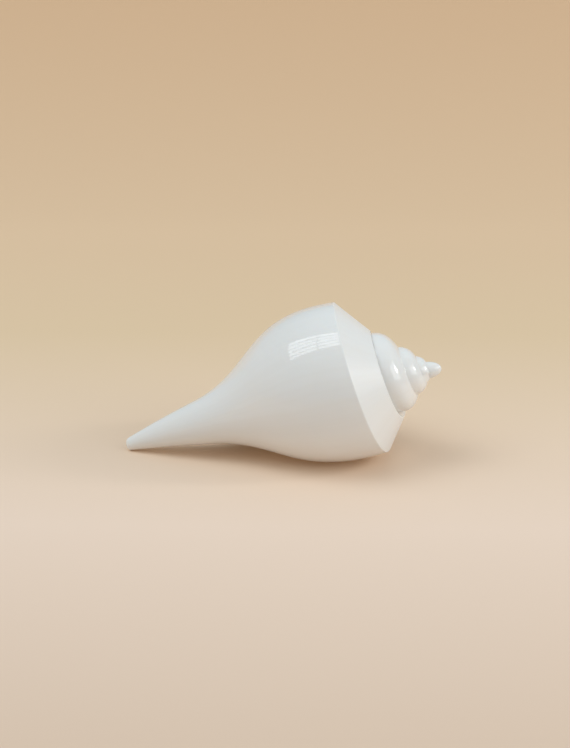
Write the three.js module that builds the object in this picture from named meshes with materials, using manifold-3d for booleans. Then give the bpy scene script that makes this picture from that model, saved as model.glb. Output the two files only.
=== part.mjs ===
// Polished conch shell, lying on its mouth as it would on a table.
// Millimetres, +Z up. The coiling axis runs along X with the apex towards +X, and the outer lip
// is on the +Y side. The origin is the middle of the footprint, at table height.

import * as THREE from 'three';
import { mergeVertices } from 'three/addons/utils/BufferGeometryUtils.js';
import Module from 'manifold-3d';

// Growth angles are degrees along the spiral: 0 is the edge of the outer lip, and older shell has
// negative angles. Profile sizes are those of the whorl at CREST_ANGLE, the part of the last
// whorl that lies uppermost. X is measured from the tip of the canal.
const CREST_ANGLE = -112;
const SHELL_TURNS = 3.6;
const TURN_GROWTH = 0.475;
const YOUNG_GROWTH = 0.029;
const VANISH_X = 148.5;
const KNOB_RADIUS = 4;
const KNOB_HALF_LENGTH = 7.5;
const KNOB_X = 142.5;
const PEAK_X = 148.4;

// Shoulder of the last whorl: a flat ramp between two sharp edges, with a small ledge inside it.
const KEEL_RADIUS = 40.5;
const KEEL_DEPTH = 39.3;
const RAMP_TOP_RADIUS = 23.4;
const RAMP_TOP_DEPTH = 25.9;
const SUTURE_RADIUS = 22.5;
const SUTURE_DEPTH = 26.3;
const LEDGE_SPREAD = 1.7;
const LEDGE_TUCK = 2.6;
const LEDGE_TUCK_DEPTH = 1.2;
const TUCK_TURN = 180;

// Below the keel: belly, neck and canal.
const KEEL_X = VANISH_X - KEEL_DEPTH;
const TIP_X = -2.6;
const NECK_X = 33.6;
const NECK_RADIUS = 11.1;
const TIP_RADIUS = 2.6;
const TIP_BLUNTNESS = 0.85;
const NECK_PULL = [66.6, 18.6];
const BELLY_PULL = [65.5, 44.7];
const CANAL_BLEND_X = 80;
const BEND_X = 70;
const BEND_BACK = 6.5;
const DROOP_X = 34;
const DROOP = 1.5;

// The spire bows up a little between the ramp and the apex.
const SPIRE_BOW = 0.75;
const BOW_FROM_X = 112;
const BOW_TO_X = 156;

// Older whorls are round. The sharp shoulder fades in along the hidden side.
const ROUND_TOP = [22.2, 26.05];
const ROUND_PULL_A = [33.5, 31];
const ROUND_PULL_B = [37.2, 37];
const FOOT_RADIUS = 38.4;
const FOOT_DEPTH = 44.6;
const FOOT_X = VANISH_X - FOOT_DEPTH;
const ROUND_SHRINK = 0.07;
const ROUND_UNTIL = -455;
const KEELED_FROM = -318;

// Wall, lip, hollow and columella, the pillar that the hollow winds round.
const WALL = 3.2;
const WALL_THINNING = 0.6;
const LIP_EDGE = 1.4;
const LIP_TAPER_ANGLE = 26;
const HOLLOW_BACK_ANGLE = -828;
const HOLLOW_LAST_ANGLE = -2;
const HOLLOW_LOW_X = 20;
const MOUTH_ANGLE = 46;
const MOUTH_TOP_ANGLE = 9;
const MOUTH_WIDEST_X = 62;
const MOUTH_SPREAD = 14;
const MOUTH_EASE = 1.6;
const CARVE_CLEARANCE = 2;
const CANAL_MOUTH_ANGLE = 14;
const COLUMELLA_RADIUS = 3.4;
const FOLD_HEIGHT = 1.1;
const FOLD_SPACING = 8.5;
const FOLD_MIDDLE_X = 27;
const FOLD_COUNT = 3;
const SLIT_HALF_TIP = 0.8;
const SLIT_HALF_NECK = 1.5;
const SLIT_FLOOR_TIP = -0.4;
const SLIT_FLOOR_NECK = 4;
const SLIT_REACH = 22;
const SLIT_FLARE = 1.6;
const SLIT_ANGLE = 7;

// How it lies: nose-up pitch of the axis, and roll about the axis onto the outer lip.
const REST_PITCH = 14.38;
const REST_ROLL = -13.1;

// Fineness of the facets.
const COLUMN_STEP = 9;
const COLUMNS_A_TURN = 360 / COLUMN_STEP;
const SPIRE_ROWS = 8;
const HOLLOW_STEP = 14;
const COLUMELLA_ROWS = 15;
const MOUTH_STEPS = 7;

const wasm = await Module();
wasm.setup();

const { clamp, degToRad, lerp, smoothstep } = THREE.MathUtils;

// Size of the whorl at an angle, as a share of its size at the crest.
function growth(angle) {
  const back = -angle / 360;
  const crest = -CREST_ANGLE / 360;
  return Math.exp(TURN_GROWTH * (crest - back) + YOUNG_GROWTH * (crest ** 2 - back ** 2));
}

function bezier(a, b, c, d, t) {
  const s = 1 - t;
  return s * s * s * a + 3 * s * s * t * b + 3 * s * t * t * c + t * t * t * d;
}

// Crest radius of the last whorl at a distance x from the canal's tip, up to the keel.
function bellyRadius(x) {
  if (x <= NECK_X) {
    return lerp(TIP_RADIUS, NECK_RADIUS, Math.max(x - TIP_X, 0) / (NECK_X - TIP_X));
  }
  let low = 0;
  let high = 1;
  for (let i = 0; i < 30; i += 1) {
    const t = (low + high) / 2;
    if (bezier(NECK_X, NECK_PULL[0], BELLY_PULL[0], KEEL_X, t) < x) {
      low = t;
    } else {
      high = t;
    }
  }
  return bezier(NECK_RADIUS, NECK_PULL[1], BELLY_PULL[1], KEEL_RADIUS, low);
}

// How far the sharp shoulder has replaced the round one: 0 on old whorls, 1 on the last.
function keelShare(angle) {
  return smoothstep(angle, ROUND_UNTIL, KEELED_FROM);
}

// How strongly growth widens the shell at x: not at all at the canal's tip, fully at the belly.
function widening(x) {
  return smoothstep(x, -CANAL_BLEND_X, CANAL_BLEND_X) * 2 - 1;
}

// The inner edge of the last whorl's ledge, as [depth, radius]. It draws in on the older side.
function keeledSuture(angle) {
  const spread = LEDGE_SPREAD * keelShare(angle - 360);
  const tuck = smoothstep(CREST_ANGLE - angle, 0, TUCK_TURN);
  return [SUTURE_DEPTH + LEDGE_TUCK_DEPTH * tuck, SUTURE_RADIUS + spread - LEDGE_TUCK * tuck];
}

// The foot of an old whorl, as [depth, radius]: it lies on the suture of the turn after it.
function roundFoot(angle) {
  if (angle >= -360) {
    return [FOOT_DEPTH, FOOT_RADIUS];
  }
  const after = angle + 360;
  const keeled = keeledSuture(after);
  const ratio = growth(after) / growth(angle);
  return [lerp(ROUND_TOP[1], keeled[0], keelShare(after)) * ratio,
    lerp(ROUND_TOP[0], keeled[1], keelShare(after)) * ratio];
}

// Outline of the sharp-shouldered whorl from its suture to its foot, as [x, radius].
function keeledSpire(angle) {
  const [sutureDepth, sutureRadius] = keeledSuture(angle);
  const spread = LEDGE_SPREAD * keelShare(angle - 360);
  const top = [VANISH_X - RAMP_TOP_DEPTH, RAMP_TOP_RADIUS + spread];
  const rows = [[VANISH_X - sutureDepth, sutureRadius], top];
  for (const share of [0.12, 0.56, 1]) {
    rows.push([lerp(top[0], KEEL_X, share), lerp(top[1], KEEL_RADIUS, share)]);
  }
  for (let row = 1; row <= SPIRE_ROWS - 4; row += 1) {
    const x = lerp(KEEL_X, FOOT_X, row / (SPIRE_ROWS - 4));
    rows.push([x, bellyRadius(x)]);
  }
  return rows;
}

// The same rows on a round whorl.
function roundSpire(angle) {
  const [footDepth, footRadius] = roundFoot(angle);
  const rows = [];
  for (let row = 0; row <= SPIRE_ROWS; row += 1) {
    const t = row / SPIRE_ROWS;
    const depth = bezier(ROUND_TOP[1], ROUND_PULL_A[1], ROUND_PULL_B[1], footDepth, t);
    const radius = bezier(ROUND_TOP[0], ROUND_PULL_A[0], ROUND_PULL_B[0], footRadius, t);
    rows.push([VANISH_X - depth, radius]);
  }
  return rows;
}

// A row above the foot keeps its shape and grows about the apex.
function scaled([x, radius], angle) {
  const size = growth(angle);
  return [VANISH_X - (VANISH_X - x) * size, radius * size];
}

// Outer radius below the foot, where the canal does not widen as the belly does.
function outerRadius(x, angle) {
  const footX = VANISH_X - FOOT_DEPTH * growth(angle);
  const crestX = TIP_X + ((x - TIP_X) * (FOOT_X - TIP_X)) / (footX - TIP_X);
  const share = widening(crestX);
  const round = 1 - ROUND_SHRINK * (1 - keelShare(angle)) * share;
  return bellyRadius(crestX) * round * growth(angle) ** share;
}

// Rows of the outer surface at one growth angle: the spire rows, then belly and canal.
const BELLY_SHARES = [0.955, 0.91, 0.86, 0.81, 0.755, 0.7, 0.645, 0.59, 0.53, 0.465, 0.395, 0.32,
  0.24, 0.16, 0.08, 0.03, 0.008];

function spireRows(angle) {
  const keeled = keeledSpire(angle);
  const round = roundSpire(angle);
  const share = keelShare(angle);
  return keeled.map(([x, radius], row) => scaled(
    [lerp(round[row][0], x, share), lerp(round[row][1], radius, share)], angle));
}

function bodyRows(angle) {
  const footX = VANISH_X - FOOT_DEPTH * growth(angle);
  const below = BELLY_SHARES.map((share) => {
    const x = lerp(TIP_X, footX, share);
    return [x, outerRadius(x, angle)];
  });
  below[below.length - 1][1] *= TIP_BLUNTNESS;
  return [...spireRows(angle), ...below];
}

// Point at a radius from the axis, on the ray of a growth angle.
function onRay(x, radius, angle) {
  const turn = degToRad(angle - CREST_ANGLE);
  return [x, radius * Math.sin(turn), radius * Math.cos(turn)];
}

// Collects points and triangles, and turns them into a solid.
class Skin {
  constructor() {
    this.points = [];
    this.faces = [];
  }

  point(place) {
    this.points.push(...place);
    return this.points.length / 3 - 1;
  }

  face(a, b, c) {
    if (a !== b && b !== c && c !== a) {
      this.faces.push(a, b, c);
    }
  }

  quad(a, b, c, d) {
    this.face(a, b, c);
    this.face(a, c, d);
  }

  solid() {
    const geometry = new THREE.BufferGeometry();
    geometry.setAttribute('position', new THREE.Float32BufferAttribute(this.points, 3));
    geometry.setIndex(this.faces);
    return solidOf(geometry);
  }
}

function solidOf(geometry) {
  geometry.deleteAttribute('normal');
  geometry.deleteAttribute('uv');
  const merged = mergeVertices(geometry, 1e-5);
  return new wasm.Manifold(new wasm.Mesh({
    numProp: 3,
    vertProperties: new Float32Array(merged.attributes.position.array),
    triVerts: new Uint32Array(merged.index.array),
  }));
}

// The whole outside, filled in. One strip winds from the apex to the lip, and each turn's foot is
// the next turn's suture. A flat step under the lip joins the last turn to the one before it.
function filledShell() {
  const skin = new Skin();
  const columns = SHELL_TURNS * COLUMNS_A_TURN;
  const ids = [];
  for (let column = 0; column <= columns; column += 1) {
    const angle = (column - columns) * COLUMN_STEP;
    const inSpire = column <= columns - COLUMNS_A_TURN;
    const rows = inSpire ? spireRows(angle).slice(0, SPIRE_ROWS) : bodyRows(angle);
    ids.push(rows.map(([x, radius]) => skin.point(onRay(x, radius, angle))));
  }
  for (let column = 0; column <= columns - COLUMNS_A_TURN; column += 1) {
    ids[column].push(ids[column + COLUMNS_A_TURN][0]);
  }
  const lip = ids[columns];
  const before = ids[columns - COLUMNS_A_TURN];
  const beforeRows = bodyRows(-360);
  for (let row = SPIRE_ROWS + 1; row < beforeRows.length; row += 1) {
    before.push(skin.point(onRay(...beforeRows[row], -360)));
  }
  for (let column = 0; column < columns; column += 1) {
    const left = ids[column];
    const right = ids[column + 1];
    for (let row = 0; row + 1 < Math.min(left.length, right.length); row += 1) {
      skin.quad(left[row], right[row], right[row + 1], left[row + 1]);
    }
  }
  closeStep(skin, lip, before);
  closeTip(skin, ids.slice(columns - COLUMNS_A_TURN));
  closeApex(skin, ids);
  return skin.solid();
}

function closeStep(skin, lip, before) {
  const loop = [...lip, ...before.slice(SPIRE_ROWS + 1).reverse()];
  const outline = loop.map((id) => {
    const [x, y, z] = skin.points.slice(3 * id, 3 * id + 3);
    return new THREE.Vector2(x, Math.hypot(y, z));
  });
  for (const [a, b, c] of THREE.ShapeUtils.triangulateShape(outline, [])) {
    skin.face(loop[a], loop[c], loop[b]);
  }
}

function closeTip(skin, columns) {
  const middle = skin.point([TIP_X, 0, 0]);
  for (let i = 0; i + 1 < columns.length; i += 1) {
    skin.face(middle, columns[i].at(-1), columns[i + 1].at(-1));
  }
  skin.face(middle, columns.at(-1).at(-1), columns[0].at(-1));
}

function closeApex(skin, ids) {
  const peak = skin.point([PEAK_X, 0, 0]);
  for (let i = 0; i < COLUMNS_A_TURN; i += 1) {
    skin.face(peak, ids[i + 1][0], ids[i][0]);
  }
  for (let row = SPIRE_ROWS; row > 0; row -= 1) {
    skin.face(peak, ids[0][row - 1], ids[0][row]);
  }
}

// Moves a run of [x, radius] points inwards by a wall thickness.
function inset(rows, wall) {
  return rows.map(([x, radius], i) => {
    const before = rows[Math.max(i - 1, 0)];
    const after = rows[Math.min(i + 1, rows.length - 1)];
    const alongX = after[0] - before[0];
    const alongR = after[1] - before[1];
    const length = Math.hypot(alongX, alongR);
    return [x - (alongR / length) * wall, radius + (alongX / length) * wall];
  });
}

// Outer side of the hollow at a growth angle, from the suture down to the canal.
const HOLLOW_SHARES = [0.91, 0.82, 0.73, 0.64, 0.55, 0.46, 0.37, 0.28, 0.2];

function hollowOuter(angle) {
  const size = growth(angle);
  const taper = smoothstep(-angle, 0, LIP_TAPER_ANGLE);
  const wall = lerp(LIP_EDGE, WALL, taper) * Math.min(size, 1) ** WALL_THINNING;
  const rows = spireRows(angle).slice(2);
  for (const share of HOLLOW_SHARES) {
    const crestX = share * FOOT_X;
    const footX = VANISH_X - FOOT_DEPTH * size;
    rows.push(size > 1
      ? [share * footX, outerRadius(share * footX, angle)]
      : scaled([crestX, bellyRadius(crestX)], angle));
  }
  return inset(rows, wall);
}

// Inner side of the hollow: the turn before, then the columella with its spiral folds.
const TURN_SHARES = [0.93, 0.83, 0.73, 0.62, 0.52];

function columellaFold(crestX) {
  const reach = (FOLD_COUNT * FOLD_SPACING) / 2;
  const offset = crestX - FOLD_MIDDLE_X;
  const wave = Math.abs(offset) < reach ? Math.cos((2 * Math.PI * offset) / FOLD_SPACING) : -1;
  return (FOLD_HEIGHT * (wave + 1)) / 2;
}

function hollowInner(angle, lowX) {
  const size = growth(angle - 360);
  const rows = TURN_SHARES.map((share) => scaled(
    [share * FOOT_X, bellyRadius(share * FOOT_X)], angle - 360));
  const [topX, topRadius] = rows.at(-1);
  const footRadius = COLUMELLA_RADIUS * size;
  for (let row = 1; row <= COLUMELLA_ROWS; row += 1) {
    const share = 1 - row / COLUMELLA_ROWS;
    const x = lerp(lowX, topX, share);
    const crestX = VANISH_X - (VANISH_X - x) / size;
    const radius = lerp(footRadius, topRadius, share * share) + columellaFold(crestX) * size;
    rows.push([x, radius]);
  }
  return rows;
}

// The mouth opens furthest round the shell at the neck, and narrows to the canal and the suture.
function mouthAngle(x) {
  return x < MOUTH_WIDEST_X
    ? lerp(CANAL_MOUTH_ANGLE, MOUTH_ANGLE, smoothstep(x, HOLLOW_LOW_X, MOUTH_WIDEST_X))
    : lerp(MOUTH_ANGLE, MOUTH_TOP_ANGLE, smoothstep(x, MOUTH_WIDEST_X, FOOT_X));
}

// The hollow: a closed section swept from deep inside the shell to beyond the lip.
function hollow() {
  const skin = new Skin();
  const loops = [];
  const columns = Math.round((HOLLOW_LAST_ANGLE - HOLLOW_BACK_ANGLE) / HOLLOW_STEP);
  for (let column = 0; column <= columns; column += 1) {
    const angle = HOLLOW_BACK_ANGLE + column * HOLLOW_STEP;
    const outer = hollowOuter(angle);
    const inner = hollowInner(angle, outer.at(-1)[0]);
    loops.push([...outer, ...inner.reverse()].map(([x, radius]) => skin.point(
      onRay(x, radius, angle))));
  }
  const outer = hollowOuter(0);
  const inner = hollowInner(0, outer.at(-1)[0]);
  for (let step = 1; step <= MOUTH_STEPS; step += 1) {
    const share = step / MOUTH_STEPS;
    const rise = share ** MOUTH_EASE;
    const beyond = outer.map(([x, radius]) => onRay(
      x, radius + share * MOUTH_SPREAD, share * mouthAngle(x)));
    const carved = inner.map(([x, radius]) => {
      const angle = share * mouthAngle(x);
      const skinRadius = outerRadius(x, angle - 360) + CARVE_CLEARANCE;
      return onRay(x, lerp(radius, skinRadius, rise), angle);
    });
    loops.push([...beyond, ...carved.reverse()].map((place) => skin.point(place)));
  }
  sweep(skin, loops);
  return skin.solid();
}

// Joins closed loops of points one after another and closes both ends with a fan.
function sweep(skin, loops) {
  for (let i = 0; i + 1 < loops.length; i += 1) {
    const near = loops[i];
    const far = loops[i + 1];
    near.forEach((id, k) => {
      const next = (k + 1) % near.length;
      skin.quad(id, far[k], far[next], near[next]);
    });
  }
  closeLoop(skin, loops[0], false);
  closeLoop(skin, loops.at(-1), true);
}

function closeLoop(skin, loop, forward) {
  const middle = [0, 1, 2].map((axis) => {
    const total = loop.reduce((sum, id) => sum + skin.points[3 * id + axis], 0);
    return total / loop.length;
  });
  const centre = skin.point(middle);
  loop.forEach((id, k) => {
    const next = loop[(k + 1) % loop.length];
    if (forward) {
      skin.face(centre, next, id);
    } else {
      skin.face(centre, id, next);
    }
  });
}

// The open slit along the canal, from the mouth to the tip.
const SLIT_STATIONS = [-6, -2, 3, 9, 16, 23, 30, 37];

function canalSlit() {
  const skin = new Skin();
  const facing = degToRad(SLIT_ANGLE - CREST_ANGLE);
  const outward = [Math.sin(facing), Math.cos(facing)];
  const loops = SLIT_STATIONS.map((x) => {
    const half = lerp(SLIT_HALF_TIP, SLIT_HALF_NECK, clamp(x / NECK_X, 0, 1));
    const floor = lerp(SLIT_FLOOR_TIP, SLIT_FLOOR_NECK, clamp(x / NECK_X, 0, 1));
    const bottom = [[2, 1], [0.7, 0.8], [0, 0], [0.7, -0.8], [2, -1]].map(
      ([rise, side]) => [floor + rise * half, side * half]);
    const section = [[SLIT_REACH, half * SLIT_FLARE], ...bottom, [SLIT_REACH, -half * SLIT_FLARE]];
    return section.map(([out, side]) => skin.point([
      x, out * outward[0] + side * outward[1], out * outward[1] - side * outward[0]]));
  });
  sweep(skin, loops);
  return skin.solid();
}

function knob() {
  const ball = new THREE.SphereGeometry(KNOB_RADIUS, 16, 10);
  ball.scale(KNOB_HALF_LENGTH / KNOB_RADIUS, 1, 1);
  ball.translate(KNOB_X, 0, 0);
  return solidOf(ball);
}

// The canal leans a little to the back and its tip droops. The spire bows.
function bendShell(geometry) {
  const place = geometry.attributes.position;
  for (let i = 0; i < place.count; i += 1) {
    const x = place.getX(i);
    const lean = Math.max(1 - x / BEND_X, 0) ** 2;
    const drop = Math.max(1 - x / DROOP_X, 0) ** 2;
    const along = clamp((x - BOW_FROM_X) / (BOW_TO_X - BOW_FROM_X), 0, 1);
    const rise = SPIRE_BOW * Math.sin(Math.PI * along) ** 2 - DROOP * drop;
    place.setXYZ(i, x, place.getY(i) + BEND_BACK * lean, place.getZ(i) + rise);
  }
}

function shellGeometry() {
  const { vertProperties, triVerts } = filledShell().add(knob())
    .subtract(hollow()).subtract(canalSlit()).getMesh();
  const geometry = new THREE.BufferGeometry();
  geometry.setAttribute('position', new THREE.BufferAttribute(vertProperties, 3));
  geometry.setIndex(new THREE.BufferAttribute(triVerts, 1));
  bendShell(geometry);
  return geometry;
}

function polishedShell() {
  return new THREE.MeshStandardMaterial({ color: 0xe4e6e4, roughness: 0.12, metalness: 0 });
}

const shell = new THREE.Mesh(shellGeometry(), polishedShell());
shell.name = 'conch_shell';
shell.rotation.set(degToRad(REST_ROLL), degToRad(-REST_PITCH), 0, 'YXZ');
shell.updateMatrixWorld(true);
const box = new THREE.Box3().setFromObject(shell, true);
shell.position.set(-(box.min.x + box.max.x) / 2, -(box.min.y + box.max.y) / 2, -box.min.z);

const conch = new THREE.Group();
conch.add(shell);

export default conch;
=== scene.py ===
import math

import bmesh
import bpy
import numpy as np
from mathutils import Matrix, Vector, geometry, kdtree


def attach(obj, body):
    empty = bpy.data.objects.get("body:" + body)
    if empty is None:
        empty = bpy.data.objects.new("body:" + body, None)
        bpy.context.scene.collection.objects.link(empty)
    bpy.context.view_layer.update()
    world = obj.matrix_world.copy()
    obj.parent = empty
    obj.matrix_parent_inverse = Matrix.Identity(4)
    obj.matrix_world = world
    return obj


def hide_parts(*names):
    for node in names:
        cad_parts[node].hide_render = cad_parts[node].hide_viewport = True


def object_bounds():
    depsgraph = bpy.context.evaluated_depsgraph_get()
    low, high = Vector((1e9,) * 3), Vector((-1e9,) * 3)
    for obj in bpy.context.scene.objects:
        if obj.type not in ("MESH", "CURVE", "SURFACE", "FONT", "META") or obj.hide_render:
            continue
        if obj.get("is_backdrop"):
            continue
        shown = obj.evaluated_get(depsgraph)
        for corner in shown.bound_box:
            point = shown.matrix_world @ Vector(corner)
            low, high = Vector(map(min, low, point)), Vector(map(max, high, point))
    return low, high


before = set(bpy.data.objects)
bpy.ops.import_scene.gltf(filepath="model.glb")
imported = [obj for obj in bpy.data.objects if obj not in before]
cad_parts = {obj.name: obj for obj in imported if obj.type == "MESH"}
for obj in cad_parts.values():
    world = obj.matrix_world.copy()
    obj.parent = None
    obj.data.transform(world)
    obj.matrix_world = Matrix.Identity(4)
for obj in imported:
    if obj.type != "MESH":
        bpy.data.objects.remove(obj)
cad_low, cad_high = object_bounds()


# The whorls, the outside of one tube of shell that widened as the animal added to its lip. Lengths
# are millimetres, and X runs up the coiling axis from the tip of the canal. A growth angle counts
# degrees along the spiral back from the lip, and each turn's foot lies on the turn before.
CREST_ANGLE = -112
TURNS = 3.6
TURN_GROWTH, YOUNG_GROWTH = 0.475, 0.029
VANISH_X, PEAK_X = 148.5, 148.4

# The shoulder of the last whorl at its crest: the keel, the ground ramp, and the ledge inside it.
# A depth is measured from the point that the spiral shrinks towards.
KEEL_RADIUS, KEEL_DEPTH = 40.5, 39.3
RAMP_TOP_RADIUS, RAMP_TOP_DEPTH = 23.4, 25.9
SUTURE_RADIUS, SUTURE_DEPTH = 22.5, 26.3
FOOT_RADIUS, FOOT_DEPTH = 38.4, 44.6
LEDGE_SPREAD, GROOVE = 1.7, 0.2
LEDGE_TUCK, LEDGE_TUCK_DEPTH, TUCK_TURN = 2.6, 1.2, 180
KEEL_ROUNDING, RAMP_TOP_ROUNDING = 0.55, 0.6
ROUND_WHORL_RADII, ROUND_WHORL_DEPTHS = (22.2, 33.5, 37.2), (26.05, 31.0, 37.0)
ROUND_SHRINK = 0.07
ROUND_UNTIL, KEELED_FROM = -455, -318

# The belly, the neck and the canal.
KEEL_X, FOOT_X = VANISH_X - KEEL_DEPTH, VANISH_X - FOOT_DEPTH
NECK_X, NECK_RADIUS = 33.6, 11.1
TIP_X, TIP_RADIUS = -2.6, 2.6
NECK_PULL, BELLY_PULL = (66.6, 18.6), (65.5, 44.7)
CANAL_BLEND_X, TIP_ROUNDING = 80, 1.5

DEGREES_A_COLUMN = 2.5
LIP_ROUNDING, LIP_ROUNDING_SHARE, LIP_STEP_DEGREES = 0.72, 0.04, 0.6
LIP_FADE_FROM, LIP_FADE_TO = 0.5, 4
CURVE_POINTS = 400


def smooth(value, low, high):
    share = np.clip((np.asarray(value, float) - low) / (high - low), 0, 1)
    return share * share * (3 - 2 * share)


def mix(a, b, share):
    return a + (b - a) * share


def bezier(a, b, c, d, t):
    s = 1 - t
    return s ** 3 * a + 3 * s * s * t * b + 3 * s * t * t * c + t ** 3 * d


def growth(angle):
    back, crest = -angle / 360, -CREST_ANGLE / 360
    return math.exp(TURN_GROWTH * (crest - back) + YOUNG_GROWTH * (crest ** 2 - back ** 2))


curve = np.linspace(0, 1, CURVE_POINTS)
belly_x = bezier(NECK_X, NECK_PULL[0], BELLY_PULL[0], KEEL_X, curve)
belly_r = bezier(NECK_RADIUS, NECK_PULL[1], BELLY_PULL[1], KEEL_RADIUS, curve)


def belly_radius(x):
    return np.interp(x, np.append([TIP_X], belly_x), np.append([TIP_RADIUS], belly_r))


def keel_share(angle):
    return float(smooth(angle, ROUND_UNTIL, KEELED_FROM))


def rounded_corner(before, corner, after, size):
    start = corner + (before - corner) / np.linalg.norm(before - corner) * size
    end = corner + (after - corner) / np.linalg.norm(after - corner) * size
    return [mix(mix(start, corner, t), mix(corner, end, t), t) for t in (0, 0.25, 0.5, 0.75, 1)]


# Each row of the outline has a place between the suture, the ramp's top edge, the keel and the
# foot, so that a round whorl turns into a keeled one row by row.
RAMP_TOP_PLACE, KEEL_PLACE, LAST_LEDGE_PLACE, FIRST_FOOT_PLACE = 0.125, 0.5, 0.115, 0.55
RAMP_TOP_CORNER, KEEL_CORNER = (0.12, 0.132), (0.488, 0.512)
FIRST_RAMP_SHARE, LAST_RAMP_SHARE, RAMP_EVEN_SHARES = 0.05, 0.96, (0, 0.12, 0.56, 1)
LEDGE_ROWS, CORNER_ROWS, RAMP_ROWS, FOOT_ROWS = 5, 5, 13, 10
GROUND_EDGE = [0, 0.3, 0.7, 1, 1]

ledge_t = np.linspace(0, LAST_LEDGE_PLACE, LEDGE_ROWS)
ramp_shares = np.linspace(FIRST_RAMP_SHARE, LAST_RAMP_SHARE, RAMP_ROWS)
ramp_places = np.linspace(RAMP_TOP_PLACE, KEEL_PLACE, len(RAMP_EVEN_SHARES))
ramp_t = np.interp(ramp_shares, RAMP_EVEN_SHARES, ramp_places)
foot_t = np.linspace(FIRST_FOOT_PLACE, 1, FOOT_ROWS)
row_t = np.concatenate([
    ledge_t, np.linspace(*RAMP_TOP_CORNER, CORNER_ROWS), ramp_t,
    np.linspace(*KEEL_CORNER, CORNER_ROWS), foot_t])
row_ground = np.concatenate([
    np.zeros(LEDGE_ROWS), GROUND_EDGE, np.ones(RAMP_ROWS), GROUND_EDGE[::-1], np.zeros(FOOT_ROWS)])


def keeled_suture(angle):
    """Depth and radius of the ledge's inner edge, which draws in on the older side."""
    tuck = float(smooth(CREST_ANGLE - angle, 0, TUCK_TURN))
    spread = LEDGE_SPREAD * keel_share(angle - 360)
    radius = SUTURE_RADIUS + spread - LEDGE_TUCK * tuck
    return np.array([SUTURE_DEPTH + LEDGE_TUCK_DEPTH * tuck, radius])


def round_rows(angle):
    foot = np.array([FOOT_DEPTH, FOOT_RADIUS])
    if angle < -360:
        top = np.array([ROUND_WHORL_DEPTHS[0], ROUND_WHORL_RADII[0]])
        suture = mix(top, keeled_suture(angle + 360), keel_share(angle + 360))
        foot = suture * growth(angle + 360) / growth(angle)
    return np.stack([VANISH_X - bezier(*ROUND_WHORL_DEPTHS, foot[0], row_t),
                     bezier(*ROUND_WHORL_RADII, foot[1], row_t)], 1)


def keeled_rows(angle):
    spread = LEDGE_SPREAD * keel_share(angle - 360)
    top = np.array([VANISH_X - RAMP_TOP_DEPTH, RAMP_TOP_RADIUS + spread])
    suture_depth, suture_radius = keeled_suture(angle)
    suture = np.array([VANISH_X - suture_depth, suture_radius])
    keel = np.array([KEEL_X, KEEL_RADIUS])
    ledge = [mix(suture, top, share) - [GROOVE * math.sin(math.pi * share), 0]
             for share in ledge_t / RAMP_TOP_PLACE]
    ramp = [mix(top, keel, share) for share in ramp_shares]
    foot_shares = (foot_t - KEEL_PLACE) / (1 - KEEL_PLACE)
    foot = [np.array([x, belly_radius(x)]) for x in mix(KEEL_X, FOOT_X, foot_shares)]
    return np.array([
        *ledge, *rounded_corner(suture, top, keel, RAMP_TOP_ROUNDING), *ramp,
        *rounded_corner(top, keel, foot[0], KEEL_ROUNDING), *foot])


def spire_rows(angle):
    rows = mix(round_rows(angle), keeled_rows(angle), keel_share(angle))
    size = growth(angle)
    return np.stack([VANISH_X - (VANISH_X - rows[:, 0]) * size, rows[:, 1] * size], 1)


def outer_radius(x, angle):
    foot_x = VANISH_X - FOOT_DEPTH * growth(angle)
    crest_x = TIP_X + (x - TIP_X) * (FOOT_X - TIP_X) / (foot_x - TIP_X)
    share = smooth(crest_x, -CANAL_BLEND_X, CANAL_BLEND_X) * 2 - 1
    round_share = 1 - ROUND_SHRINK * (1 - keel_share(angle)) * share
    return belly_radius(crest_x) * round_share * growth(angle) ** share


# The rows of the body, as shares of its length from the tip, closer together where the tip rounds.
BODY_SHARES = np.concatenate([
    np.linspace(0.985, 0.5, 34), np.linspace(0.485, 0.04, 30),
    [0.03, 0.022, 0.015, 0.009, 0.004, 0.001]])


def body_rows(angle):
    x = mix(TIP_X, VANISH_X - FOOT_DEPTH * growth(angle), BODY_SHARES)
    blunt = np.sqrt(1 - np.clip(1 - (x - TIP_X) / TIP_ROUNDING, 0, 1) ** 2)
    below = np.stack([x, outer_radius(x, angle) * blunt], 1)
    return np.concatenate([spire_rows(angle), below])


def inset(rows, depth):
    along = np.gradient(rows, axis=0)
    along /= np.linalg.norm(along, axis=1)[:, None]
    return rows + np.stack([-along[:, 1], along[:, 0]], 1) * np.reshape(depth, (-1, 1))


def on_ray(rows, angle):
    turn = np.radians(np.asarray(angle, float) - CREST_ANGLE)
    x, radius = rows[:, 0], rows[:, 1]
    return np.stack(np.broadcast_arrays(x, radius * np.sin(turn), radius * np.cos(turn)), 1)


def lip_edge(rows, turn_over):
    """The outline drawn in and set back as the lip's edge rounds over by a quarter turn."""
    from_end = np.linalg.norm(rows - rows[0], axis=1)
    size = np.minimum(LIP_ROUNDING, LIP_ROUNDING_SHARE * rows[:, 1])
    size = size * smooth(from_end, LIP_FADE_FROM, LIP_FADE_TO)
    back = np.maximum(np.degrees(size / rows[:, 1]), LIP_STEP_DEGREES)
    return size * (1 - math.cos(turn_over)), -back * (1 - math.sin(turn_over))


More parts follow.
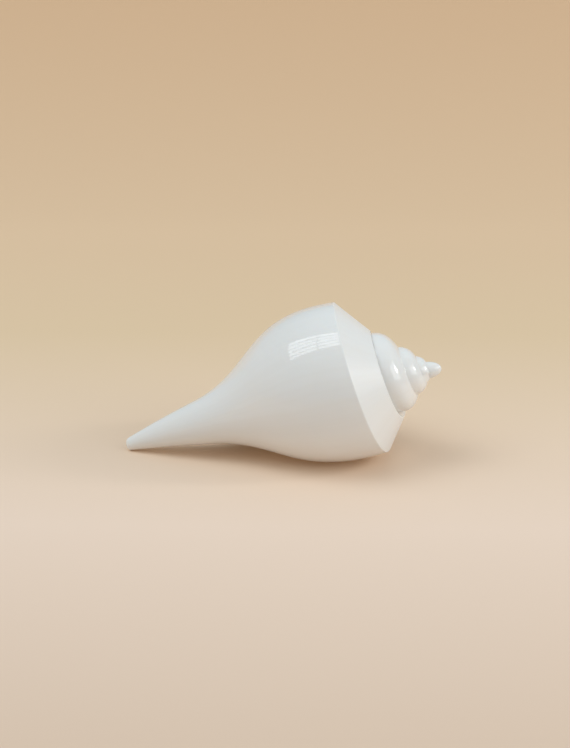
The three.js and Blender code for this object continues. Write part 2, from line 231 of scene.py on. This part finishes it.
class Skin:
    """The points and faces of one closed surface, with marks that tell the glaze where it is."""

    def __init__(self):
        self.points, self.faces, self.marks = [], [], []

    def add(self, places, growth_angle, ground, inside):
        first = len(self.points)
        self.points.extend(places)
        for share in np.broadcast_to(ground, len(places)):
            self.marks.append((growth_angle / 360, share, inside))
        return list(range(first, len(self.points)))

    def face(self, *corners):
        corners = [c for i, c in enumerate(corners) if c != corners[i - 1]]
        if len(corners) > 2:
            self.faces.append(corners)

    def strip(self, left, right):
        for row in range(min(len(left), len(right)) - 1):
            self.face(left[row], right[row], right[row + 1], left[row + 1])

    def solid(self, name):
        mesh = bpy.data.meshes.new(name)
        mesh.from_pydata([tuple(p) for p in self.points], [], self.faces)
        edit = bmesh.new()
        edit.from_mesh(mesh)
        bmesh.ops.triangulate(edit, faces=edit.faces)
        bmesh.ops.recalc_face_normals(edit, faces=edit.faces)
        if edit.calc_volume(signed=True) < 0:
            bmesh.ops.reverse_faces(edit, faces=edit.faces)
        edit.to_mesh(mesh)
        edit.free()
        piece = bpy.data.objects.new(name, mesh)
        bpy.context.scene.collection.objects.link(piece)
        return piece


quarter = np.radians([0, 22.5, 45, 67.5])
one_turn = np.concatenate([
    np.arange(-360, -1, DEGREES_A_COLUMN), -LIP_STEP_DEGREES * (1 - np.sin(quarter))])
columns_a_turn = len(one_turn)
angles = np.concatenate([one_turn - 1080, one_turn - 720, one_turn - 360, one_turn, [0]])
angles = angles[angles > -360 * TURNS - 0.01]
first_body_column = len(angles) - columns_a_turn
lip_turns = [*quarter, math.pi / 2]
first_lip_column = len(angles) - len(lip_turns)


def spire_strip(angle):
    ground = row_ground[:-1] * keel_share(angle)
    return outside.add(on_ray(spire_rows(angle)[:-1], angle), angle, ground, 0)


def body_strip(rows, growth_angle, angle):
    ground = np.append(row_ground, np.zeros(len(BODY_SHARES))) * keel_share(growth_angle)
    return outside.add(on_ray(rows, angle), growth_angle, ground, 0)


def lip_strip(growth_angle, turn_over):
    rows = body_rows(0)
    turned_in, set_back = lip_edge(rows, turn_over)
    return body_strip(inset(rows, turned_in), growth_angle, set_back)


outside = Skin()
strips = [spire_strip(angle) for angle in angles[:first_body_column]]
strips += [body_strip(body_rows(angle), angle, angle)
           for angle in angles[first_body_column:first_lip_column]]
strips += [lip_strip(angle, turn_over)
           for angle, turn_over in zip(angles[first_lip_column:], lip_turns)]
for index in range(first_body_column):
    strips[index].append(strips[index + columns_a_turn][0])
for left, right in zip(strips, strips[1:]):
    outside.strip(left, right)

# The step at the lip down to the turn before, then the fans that close the tip and the apex.
before_body = body_rows(angles[first_body_column - 1])[len(row_t):]
before = outside.add(on_ray(before_body, -360), -360, 0, 0)
closing = strips[-1] + before[::-1]
flat = [Vector((outside.points[i][0], math.hypot(*outside.points[i][1:]), 0)) for i in closing]
for corners in geometry.tessellate_polygon([flat]):
    outside.face(*(closing[c] for c in corners))
last_spire, first_body = strips[first_body_column - 1], strips[first_body_column]
outside.strip([last_spire[-1], *before], first_body[len(row_t) - 1:])
tip = outside.add([(TIP_X, 0, 0)], 0, 0, 0)[0]
ends = [before[-1]] + [strip[-1] for strip in strips[first_body_column:]]
for near, far in zip(ends, ends[1:] + ends[:1]):
    outside.face(tip, near, far)
peak = outside.add([(PEAK_X, 0, 0)], angles[0], 0, 0)[0]
for index in range(columns_a_turn):
    outside.face(peak, strips[index][0], strips[index + 1][0])
for near, far in zip(strips[0], strips[0][1:]):
    outside.face(peak, near, far)
shell = outside.solid("conch")


# The knob at the apex, the first shell that the animal had when it hatched. It is a small smooth
# egg shape, and the youngest whorl grew on from it.
KNOB_RADIUS, KNOB_HALF_LENGTH, KNOB_X = 4.0, 7.5, 142.5
KNOB_STEP_DEGREES = 7.5

knob = Skin()
rings = []
round_angles = np.arange(0, 360, KNOB_STEP_DEGREES)
for lean in np.radians(np.arange(KNOB_STEP_DEGREES, 180, KNOB_STEP_DEGREES)):
    place = [KNOB_X + KNOB_HALF_LENGTH * math.cos(lean), KNOB_RADIUS * math.sin(lean)]
    ring = np.array([place] * len(round_angles))
    rings.append(knob.add(on_ray(ring, round_angles), -360 * TURNS, 0, 0))
    rings[-1].append(rings[-1][0])
for near, far in zip(rings, rings[1:]):
    knob.strip(near, far)
for ring, side in ((rings[0], 1), (rings[-1], -1)):
    pole = knob.add([(KNOB_X + side * KNOB_HALF_LENGTH, 0, 0)], -360 * TURNS, 0, 0)[0]
    for near, far in zip(ring, ring[1:]):
        knob.face(pole, near, far)


# The hollow that the animal lived in. It winds about two turns round the columella, a pillar with
# three low folds, and opens downwards along the lip. The wall thins towards the lip, and the
# hollow runs out on the turn before in a thin edge.
WALL, LIP_WALL, LIP_TAPER_ANGLE, WALL_THINNING = 3.2, 1.5, 26, 0.6
HOLLOW_BACK_ANGLE, DEGREES_A_SECTION = -828, 4
COLUMELLA_RADIUS, COLUMELLA_ROWS = 3.4, 44
FOLD_HEIGHT, FOLD_SPACING, FOLD_MIDDLE_X, FOLD_COUNT = 1.1, 8.5, 27, 3
HOLLOW_LAST_ANGLE, INNER_LIP_SET_BACK = -2.5, 1.2
HOLLOW_LOW_X, HOLLOW_TOP_PLACE = 20, 0.25
MOUTH_STEPS, MOUTH_SPREAD, MOUTH_EASE, CARVE_CLEARANCE = 22, 14, 1.6, 2
MOUTH_ANGLE, MOUTH_TOP_ANGLE, MOUTH_WIDEST_X, CANAL_MOUTH_ANGLE = 46, 9, 62, 14
HOLLOW_SHARES = np.linspace(0.97, 0.2, 30)
TURN_SHARES = np.linspace(0.93, 0.52, 18)
first_hollow_row = int(np.searchsorted(row_t, HOLLOW_TOP_PLACE))


def hollow_outer(angle):
    size = growth(angle)
    wall = mix(LIP_WALL, WALL, float(smooth(-angle, 0, LIP_TAPER_ANGLE)))
    wall *= min(size, 1) ** WALL_THINNING
    if size > 1:
        x = HOLLOW_SHARES * (VANISH_X - FOOT_DEPTH * size)
        below = np.stack([x, outer_radius(x, angle)], 1)
    else:
        x = HOLLOW_SHARES * FOOT_X
        below = np.stack([VANISH_X - (VANISH_X - x) * size, belly_radius(x) * size], 1)
    rows = np.concatenate([spire_rows(angle)[first_hollow_row:], below])
    return inset(rows, wall)


def hollow_inner(angle, low_x):
    size = growth(angle - 360)
    x = TURN_SHARES * FOOT_X
    turn = np.stack([VANISH_X - (VANISH_X - x) * size, belly_radius(x) * size], 1)
    share = 1 - np.arange(1, COLUMELLA_ROWS + 1) / COLUMELLA_ROWS
    x = mix(low_x, turn[-1, 0], share)
    offset = VANISH_X - (VANISH_X - x) / size - FOLD_MIDDLE_X
    fold = np.where(abs(offset) < FOLD_COUNT * FOLD_SPACING / 2,
                    FOLD_HEIGHT * (np.cos(2 * np.pi * offset / FOLD_SPACING) + 1) / 2, 0)
    radius = mix(COLUMELLA_RADIUS * size, turn[-1, 1], share ** 2) + fold * size
    return np.concatenate([turn, np.stack([x, radius], 1)])


def mouth_angle(x):
    low = mix(CANAL_MOUTH_ANGLE, MOUTH_ANGLE, smooth(x, HOLLOW_LOW_X, MOUTH_WIDEST_X))
    high = mix(MOUTH_ANGLE, MOUTH_TOP_ANGLE, smooth(x, MOUTH_WIDEST_X, FOOT_X))
    return np.where(x < MOUTH_WIDEST_X, low, high)


def close_tube(skin, loops):
    for near, far in zip(loops, loops[1:]):
        skin.strip(near + near[:1], far + far[:1])
    for loop in (loops[0], loops[-1]):
        middle = skin.add([np.mean([skin.points[i] for i in loop], 0)], -360, 0, 1)[0]
        for near, far in zip(loop, loop[1:] + loop[:1]):
            skin.face(middle, near, far)


def hollow_loop(outer, inner, outer_angle, inner_angle, growth_angle):
    places = np.concatenate([on_ray(outer, outer_angle), on_ray(inner, inner_angle)[::-1]])
    return hollow.add(places, growth_angle, 0, 1)


hollow = Skin()
loops = []
sections = np.arange(HOLLOW_BACK_ANGLE, -DEGREES_A_SECTION + 0.1, DEGREES_A_SECTION)
for angle in np.append(sections, HOLLOW_LAST_ANGLE):
    outer = hollow_outer(angle)
    inner = hollow_inner(angle, outer[-1, 0])
    loops.append(hollow_loop(outer, inner, angle, angle, angle))

# The inside of the lip rounds over into its edge, and the hollow leaves the shell below it.
edge = hollow_outer(0)
for turn_over in lip_turns:
    set_back = lip_edge(edge, turn_over)[1]
    rounding = np.minimum(LIP_ROUNDING, LIP_ROUNDING_SHARE * edge[:, 1])
    outer = inset(edge, -rounding * (1 - math.cos(turn_over)))
    inner = hollow_inner(0, outer[-1, 0])
    inner_back = -INNER_LIP_SET_BACK * (1 - math.sin(turn_over))
    loops.append(hollow_loop(outer, inner, set_back, inner_back, 0))
for share in np.arange(1, MOUTH_STEPS + 1) / MOUTH_STEPS:
    round_by = share * mouth_angle(inner[:, 0])
    skin_radius = CARVE_CLEARANCE + np.array([
        outer_radius(x, angle - 360) for x, angle in zip(inner[:, 0], round_by)])
    carved = np.stack([inner[:, 0], mix(inner[:, 1], skin_radius, share ** MOUTH_EASE)], 1)
    beyond = outer + [0, share * MOUTH_SPREAD]
    loops.append(hollow_loop(beyond, carved, share * mouth_angle(outer[:, 0]), round_by, 0))
close_tube(hollow, loops)


# The slit along the underside of the canal, through which the animal drew water. It is open all
# the way from the mouth to the tip, with a round floor, and it widens a little outwards.
SLIT_HALF_TIP, SLIT_HALF_NECK, SLIT_ANGLE = 0.8, 1.5, 7
SLIT_REACH, SLIT_FLARE = 22, 1.6
SLIT_FLOOR_TIP, SLIT_FLOOR_NECK = -0.4, 4.0
SLIT_FROM_X, SLIT_TO_X, SLIT_SECTIONS = -6, 37, 36
FLOOR_ANGLES = np.radians(np.linspace(90, -90, 13))

slit = Skin()
facing = math.radians(SLIT_ANGLE - CREST_ANGLE)
outward = np.array([0, math.sin(facing), math.cos(facing)])
sideways = np.array([0, math.cos(facing), -math.sin(facing)])
loops = []
for x in np.linspace(SLIT_FROM_X, SLIT_TO_X, SLIT_SECTIONS):
    share = min(max(x / NECK_X, 0), 1)
    half = mix(SLIT_HALF_TIP, SLIT_HALF_NECK, share)
    floor_out = mix(SLIT_FLOOR_TIP, SLIT_FLOOR_NECK, share)
    bottom = [(floor_out + 2 * half * (1 - math.cos(a)), half * math.sin(a)) for a in FLOOR_ANGLES]
    section = [(SLIT_REACH, half * SLIT_FLARE), *bottom, (SLIT_REACH, -half * SLIT_FLARE)]
    places = [outward * out + sideways * side + [x, 0, 0] for out, side in section]
    loops.append(slit.add(places, 0, 0, 1))
close_tube(slit, loops)


# The whole shell, of the mineral that the animal laid down, ground flat on the shoulder and
# polished. The canal leans a little back and its tip droops, and the spire bows up a little. It
# lies loose on its outer lip, its belly and the tip of the canal.
BEND_X, BEND_BACK = 70, 6.5
DROOP_X, DROOP = 34, 1.5
SPIRE_BOW, BOW_FROM_X, BOW_TO_X = 0.75, 112, 156
REST_PITCH, REST_ROLL = 14.38, -13.1
CREASE_ANGLE = 32


def joined(piece, skin, name, operation):
    tool = skin.solid(name)
    change = piece.modifiers.new(name, "BOOLEAN")
    change.operation, change.object, change.solver = operation, tool, "MANIFOLD"
    result = piece.evaluated_get(bpy.context.evaluated_depsgraph_get())
    mesh = bpy.data.meshes.new_from_object(result)
    piece.modifiers.clear()
    piece.data = mesh
    bpy.data.objects.remove(tool)


joined(shell, knob, "knob", "UNION")
joined(shell, hollow, "hollow", "DIFFERENCE")
joined(shell, slit, "slit", "DIFFERENCE")

mesh = shell.data
places = np.empty(len(mesh.vertices) * 3)
mesh.vertices.foreach_get("co", places)
places = places.reshape(-1, 3)

known = [(place, mark) for skin in (outside, knob, hollow, slit)
         for place, mark in zip(skin.points, skin.marks)]
tree = kdtree.KDTree(len(known))
for index, (place, mark) in enumerate(known):
    tree.insert(place, index)
tree.balance()
marks = np.array([known[tree.find(place)[1]][1] for place in places], np.float32)
for column, name in enumerate(("growth", "ground", "inside")):
    mesh.attributes.new(name, "FLOAT", "POINT").data.foreach_set("value", marks[:, column].copy())

x = places[:, 0].copy()
bow = np.clip((x - BOW_FROM_X) / (BOW_TO_X - BOW_FROM_X), 0, 1)
places[:, 1] += BEND_BACK * np.clip(1 - x / BEND_X, 0, None) ** 2
places[:, 2] += SPIRE_BOW * np.sin(math.pi * bow) ** 2
places[:, 2] -= DROOP * np.clip(1 - x / DROOP_X, 0, None) ** 2
lying = (Matrix.Rotation(math.radians(-REST_PITCH), 3, "Y")
         @ Matrix.Rotation(math.radians(REST_ROLL), 3, "X"))
places = places @ np.array(lying).T
low, high = places.min(0), places.max(0)
cad_size = np.array(cad_high) - np.array(cad_low)
places = np.array(cad_low) + (places - low) / (high - low) * cad_size
mesh.vertices.foreach_set("co", places.ravel().astype(np.float32))
mesh.update()
mesh.shade_smooth()
mesh.set_sharp_from_angle(angle=math.radians(CREASE_ANGLE))

IVORY = (0.83, 0.815, 0.79, 1)
MILK = (0.84, 0.83, 0.81, 1)
WARM_CLOUD = (0.83, 0.81, 0.775, 1)
MOUTH_CREAM = (0.80, 0.70, 0.58, 1)
CLOUD_SHARE, CREAM_SHARE = 0.35, 0.85
POLISH_ROUGHNESS, GROUND_ROUGHNESS, MOUTH_ROUGHNESS = 0.05, 0.32, 0.2
POLISH_WEAR, GROUND_WEAR = 0.05, 0.1
FINE_LINES_A_TURN, BROAD_LINES_A_TURN, LINE_WOBBLE = 240, 34, 0.012
LINE_HEIGHT, POLISHED_LINES, GROUND_LINES, FINE_LINE_SHARE = 0.0002, 0.012, 0.006, 0.5
GRAIN_HEIGHT, GRAIN_STRENGTH = 0.00006, 0.02

# How fine each mottle is to the metre and how many times it is broken up, and the part of its
# range that is stretched from the one value to the other.
WOBBLE_MOTTLE, CLOUD_MOTTLE, RUB_MOTTLE, GRAIN_MOTTLE = (90, 2), (55, 3), (420, 4), (900, 3)
LINE_RANGE, CLOUD_RANGE, RUB_RANGE = (0.35, 0.65), (0.45, 0.7), (0.3, 0.75)


class Nodes:
    """A material and the few kinds of node that its colour, polish and relief are made with."""

    def __init__(self, name):
        self.material = bpy.data.materials.new(name)
        self.material.use_nodes = True
        self.tree = self.material.node_tree
        self.shader = self.tree.nodes["Principled BSDF"]

    def add(self, kind, inputs=(), **settings):
        node = self.tree.nodes.new("ShaderNode" + kind)
        for key, value in settings.items():
            setattr(node, key, value)
        for socket, value in dict(inputs).items():
            self.set(node, socket, value)
        return node

    def set(self, node, socket, value):
        if isinstance(value, bpy.types.NodeSocket):
            self.tree.links.new(value, node.inputs[socket])
        else:
            node.inputs[socket].default_value = value

    def mark(self, name):
        return self.add("Attribute", attribute_name=name).outputs["Fac"]

    def blend(self, share, a, b):
        node = self.add("Mix", data_type="RGBA")
        for socket, value in ((0, share), (6, a), (7, b)):
            self.set(node, socket, value)
        return node.outputs[2]

    def between(self, share, a, b):
        return self.add("Mix", {0: share, 2: a, 3: b}).outputs[0]

    def spread(self, value, low, high, to_low=0.0, to_high=1.0):
        inputs = {0: value, 1: low, 2: high, 3: to_low, 4: to_high}
        return self.add("MapRange", inputs).outputs[0]

    def noise(self, scale, detail, vector):
        inputs = {"Vector": vector, "Scale": scale, "Detail": detail}
        return self.add("TexNoise", inputs).outputs[0]

    def lines(self, along, scale, wobble):
        """Fine lines across the direction of growth, bent a little by a slow wobble."""
        place = self.add("Math", {0: wobble, 1: LINE_WOBBLE, 2: along}, operation="MULTIPLY_ADD")
        inputs = {"W": place.outputs[0], "Scale": scale, "Detail": 5.0, "Roughness": 0.7}
        return self.add("TexNoise", inputs, noise_dimensions="1D").outputs[0]

    def bump(self, strength, distance, height, below=None):
        node = self.add("Bump", {"Strength": strength, "Distance": distance, "Height": height})
        if below:
            self.set(node, "Normal", below)
        return node.outputs[0]


def polished_shell():
    n = Nodes("polished_shell")
    place = n.add("TexCoord").outputs["Object"]
    growth_turn, ground, inside = n.mark("growth"), n.mark("ground"), n.mark("inside")
    wobble = n.noise(*WOBBLE_MOTTLE, place)
    fine = n.lines(growth_turn, FINE_LINES_A_TURN, wobble)
    broad = n.lines(growth_turn, BROAD_LINES_A_TURN, wobble)

    tone = n.blend(n.spread(broad, *LINE_RANGE), IVORY, MILK)
    cloud = n.spread(n.noise(*CLOUD_MOTTLE, place), *CLOUD_RANGE, 0, CLOUD_SHARE)
    tone = n.blend(cloud, tone, WARM_CLOUD)
    tone = n.blend(n.spread(inside, 0, 1, 0, CREAM_SHARE), tone, MOUTH_CREAM)
    n.set(n.shader, "Base Color", tone)

    rub = n.noise(*RUB_MOTTLE, place)
    polish = n.spread(rub, *RUB_RANGE, POLISH_ROUGHNESS, POLISH_ROUGHNESS + POLISH_WEAR)
    dull = n.spread(rub, *RUB_RANGE, GROUND_ROUGHNESS, GROUND_ROUGHNESS + GROUND_WEAR)
    rough = n.between(inside, n.between(ground, polish, dull), MOUTH_ROUGHNESS)
    n.set(n.shader, "Roughness", rough)
    n.set(n.shader, "IOR", 1.6)
    n.set(n.shader, "Subsurface Weight", 0.12)
    n.set(n.shader, "Subsurface Radius", (1.0, 0.8, 0.6))
    n.set(n.shader, "Subsurface Scale", 0.0015)

    inputs = {0: fine, 1: FINE_LINE_SHARE, 2: broad}
    relief = n.add("Math", inputs, operation="MULTIPLY_ADD").outputs[0]
    strength = n.spread(ground, 0, 1, POLISHED_LINES, GROUND_LINES)
    lines = n.bump(strength, LINE_HEIGHT, relief)
    grain = n.bump(GRAIN_STRENGTH, GRAIN_HEIGHT, n.noise(*GRAIN_MOTTLE, place), lines)
    n.set(n.shader, "Normal", grain)
    return n.material


mesh.materials.clear()
mesh.materials.append(polished_shell())
shell.name = "conch_shell_visual"
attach(shell, "root")
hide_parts("conch_shell")


# The sweep, a sheet of warm beige paper that the shell lies on. It curves up behind into a
# backdrop. Its colour holds painted light: palest just in front of the shell and painted darker
# towards the front edge and up the backdrop, with a painted warm glow that lifts its shadows.
SWEEP_HALF_WIDTH, SWEEP_FRONT, SWEEP_BEND, SWEEP_RADIUS = 2.5, -1.4, 0.34, 0.5
FLAT_FROM, FLAT_ROWS, CURVE_FROM, CURVE_TO, CURVE_ROWS = -0.6, 8, 5, 60, 12
# Painted light falloff: these stops paint the paper palest just in front of the shell and darker
# towards the front edge and up the backdrop, where less light falls.
SWEEP_PAINTED_FALLOFF = (
    (-0.34, (0.63, 0.49, 0.375, 1)), (-0.09, (0.78, 0.63, 0.515, 1)),
    (0.18, (0.69, 0.54, 0.36, 1)), (0.38, (0.70, 0.525, 0.35, 1)),
    (0.70, (0.60, 0.405, 0.248, 1)))
# A painted glow: the paper gives off a little warm light of its own, which lifts and warms the
# shadows under the shell.
PAPER_ROUGHNESS, PAPER_PAINTED_GLOW, PAINTED_GLOW_STRENGTH = 0.85, (1, 0.52, 0.22, 1), 0.07
TOOTH_MOTTLE, TOOTH_STRENGTH, TOOTH_HEIGHT = (900, 3), 0.1, 0.0002

curve_angles = np.radians(np.linspace(CURVE_FROM, CURVE_TO, CURVE_ROWS))
profile = [(SWEEP_FRONT, 0), *((y, 0) for y in np.linspace(FLAT_FROM, SWEEP_BEND, FLAT_ROWS))]
profile += [(SWEEP_BEND + SWEEP_RADIUS * math.sin(a), SWEEP_RADIUS * (1 - math.cos(a)))
            for a in curve_angles]
corners, quads = [], []
for index, (y, z) in enumerate(profile):
    corners += [(-SWEEP_HALF_WIDTH, y, z), (SWEEP_HALF_WIDTH, y, z)]
    if index:
        quads.append((2 * index - 2, 2 * index - 1, 2 * index + 1, 2 * index))
sheet = bpy.data.meshes.new("sweep")
sheet.from_pydata(corners, [], quads)
sheet.shade_smooth()
sweep = bpy.data.objects.new("sweep", sheet)
bpy.context.scene.collection.objects.link(sweep)

paper = Nodes("beige_paper")
paper_place = paper.add("TexCoord").outputs["Object"]
front, back = SWEEP_PAINTED_FALLOFF[0][0], SWEEP_PAINTED_FALLOFF[-1][0]
depth = paper.spread(paper.add("SeparateXYZ", {0: paper_place}).outputs[1], front, back)
# The ramp of painted light falloff, by depth across the sweep.
painted_falloff_ramp = paper.add("ValToRGB", {0: depth})
stops = painted_falloff_ramp.color_ramp.elements
stops[0].color, stops[1].color = SWEEP_PAINTED_FALLOFF[0][1], SWEEP_PAINTED_FALLOFF[-1][1]
for y, colour in SWEEP_PAINTED_FALLOFF[1:-1]:
    stops.new((y - front) / (back - front)).color = colour
paper.set(paper.shader, "Base Color", painted_falloff_ramp.outputs[0])
paper.set(paper.shader, "Roughness", PAPER_ROUGHNESS)
# The painted glow, which warms the paper's shadows.
paper.set(paper.shader, "Emission Color", PAPER_PAINTED_GLOW)
paper.set(paper.shader, "Emission Strength", PAINTED_GLOW_STRENGTH)
tooth = paper.noise(*TOOTH_MOTTLE, paper_place)
paper.set(paper.shader, "Normal", paper.bump(TOOTH_STRENGTH, TOOTH_HEIGHT, tooth))
sheet.materials.append(paper.material)
sweep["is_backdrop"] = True


# The slatted window, which the polish on the belly mirrors: bright strips between dark slats, in
# two panes. Each corner is a direction from the middle of the belly.
WINDOW_FROM, WINDOW_DISTANCE = (0.0166, -0.0274, 0.0603), 1.6
WINDOW_TOP = ((-0.66, 0.20, 0.73), (-0.20, 0.12, 0.97))
WINDOW_BOTTOM = ((-0.72, -0.26, 0.65), (-0.20, -0.25, 0.95))
WINDOW_STRIPS, WINDOW_GAP, WINDOW_PANES = 5, 0.36, ((0, 0.62), (0.65, 1))
WINDOW_LIGHT, WINDOW_BRIGHTNESS = (0.93, 0.97, 1, 1), 3.6


def window_edge(directions):
    return np.array(WINDOW_FROM) + WINDOW_DISTANCE * np.array(directions)


top, bottom = window_edge(WINDOW_TOP), window_edge(WINDOW_BOTTOM)
corners, quads = [], []
for strip in range(WINDOW_STRIPS):
    upper, lower = strip / WINDOW_STRIPS, (strip + 1 - WINDOW_GAP) / WINDOW_STRIPS
    for left, right in WINDOW_PANES:
        first = len(corners)
        for across, down in ((left, upper), (right, upper), (right, lower), (left, lower)):
            corners.append(tuple(mix(mix(*top, across), mix(*bottom, across), down)))
        quads.append(tuple(range(first, first + 4)))
strips = bpy.data.meshes.new("slatted_window")
strips.from_pydata(corners, [], quads)
pane = Nodes("window_light")
pane.set(pane.shader, "Base Color", (0, 0, 0, 1))
pane.set(pane.shader, "Emission Color", WINDOW_LIGHT)
pane.set(pane.shader, "Emission Strength", WINDOW_BRIGHTNESS)
strips.materials.append(pane.material)
window = bpy.data.objects.new("slatted_window", strips)
bpy.context.scene.collection.objects.link(window)
window.visible_shadow = window.visible_camera = False
window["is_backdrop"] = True


# The lamps: a large soft panel high on the left, a weaker one low on the right, and a small
# window on the right that glints on the coils. Even cool light comes from the rest of the room.
ROOM_LIGHT, ROOM_BRIGHTNESS = (0.86, 0.95, 1.0, 1), 0.48


def panel(name, place, aim_height, width, height, watts, colour):
    light = bpy.data.lights.new(name, "AREA")
    light.shape, light.size, light.size_y = "RECTANGLE", width, height
    light.energy, light.color = watts, colour
    lamp = bpy.data.objects.new(name, light)
    bpy.context.scene.collection.objects.link(lamp)
    lamp.location = place
    facing = Vector((0, 0, aim_height)) - Vector(place)
    lamp.rotation_euler = facing.to_track_quat("-Z", "Y").to_euler()
    return lamp


soft_panel = panel("soft_panel", (-1.0, -0.15, 1.65), aim_height=0.03,
                   width=1.7, height=1.7, watts=12, colour=(0.88, 0.96, 1))
soft_panel.visible_glossy = False
panel("right_panel", (1.3, -0.45, 0.75), aim_height=0.05,
      width=1.2, height=0.9, watts=7, colour=(0.93, 0.98, 1))
panel("right_window", (1.35, 0.0, 0.72), aim_height=0.05,
      width=0.16, height=0.3, watts=3, colour=(1, 1, 1))
room = bpy.data.worlds.new("room")
bpy.context.scene.world = room
room.use_nodes = True
room_light = room.node_tree.nodes["Background"]
room_light.inputs["Color"].default_value = ROOM_LIGHT
room_light.inputs["Strength"].default_value = ROOM_BRIGHTNESS
bpy.context.scene.view_settings.view_transform = "Standard"


# The camera stands a metre away in front and a little to the right, looks down on the shell by
# about 19 degrees, and is turned by a degree about its own axis.
CAMERA_DISTANCE, CAMERA_AIM, NEAREST_VIEW = 1.0, (0, 0, 0.03), 0.05
CAMERA_YAW, CAMERA_ELEVATION, CAMERA_ROLL = -4.58, 19.25, -1.20
PICTURE_HEIGHT, FOCAL_PIXELS = 748, 2172
AIM_LEFT, AIM_BELOW = 3.5, 16.8
SENSOR_HEIGHT = 36

yaw, elevation, roll = (math.radians(v) for v in (CAMERA_YAW, CAMERA_ELEVATION, CAMERA_ROLL))
level = Vector((math.sin(yaw), math.cos(yaw), 0))
forward = level * math.cos(elevation) - Vector((0, 0, math.sin(elevation)))
right = Vector((math.cos(yaw), -math.sin(yaw), 0))
up = right.cross(forward)
cos_roll, sin_roll = math.cos(roll), math.sin(roll)
right, up = right * cos_roll + up * sin_roll, up * cos_roll - right * sin_roll
lens = bpy.data.cameras.new("camera")
lens.sensor_fit, lens.sensor_height = "VERTICAL", SENSOR_HEIGHT
lens.lens = SENSOR_HEIGHT * FOCAL_PIXELS / PICTURE_HEIGHT
lens.shift_x, lens.shift_y = AIM_LEFT / PICTURE_HEIGHT, AIM_BELOW / PICTURE_HEIGHT
lens.clip_start = NEAREST_VIEW
camera = bpy.data.objects.new("camera", lens)
bpy.context.scene.collection.objects.link(camera)
turn = Matrix((right, up, -forward)).transposed().to_4x4()
camera.matrix_world = Matrix.Translation(Vector(CAMERA_AIM) - forward * CAMERA_DISTANCE) @ turn
bpy.context.scene.camera = camera


low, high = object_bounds()
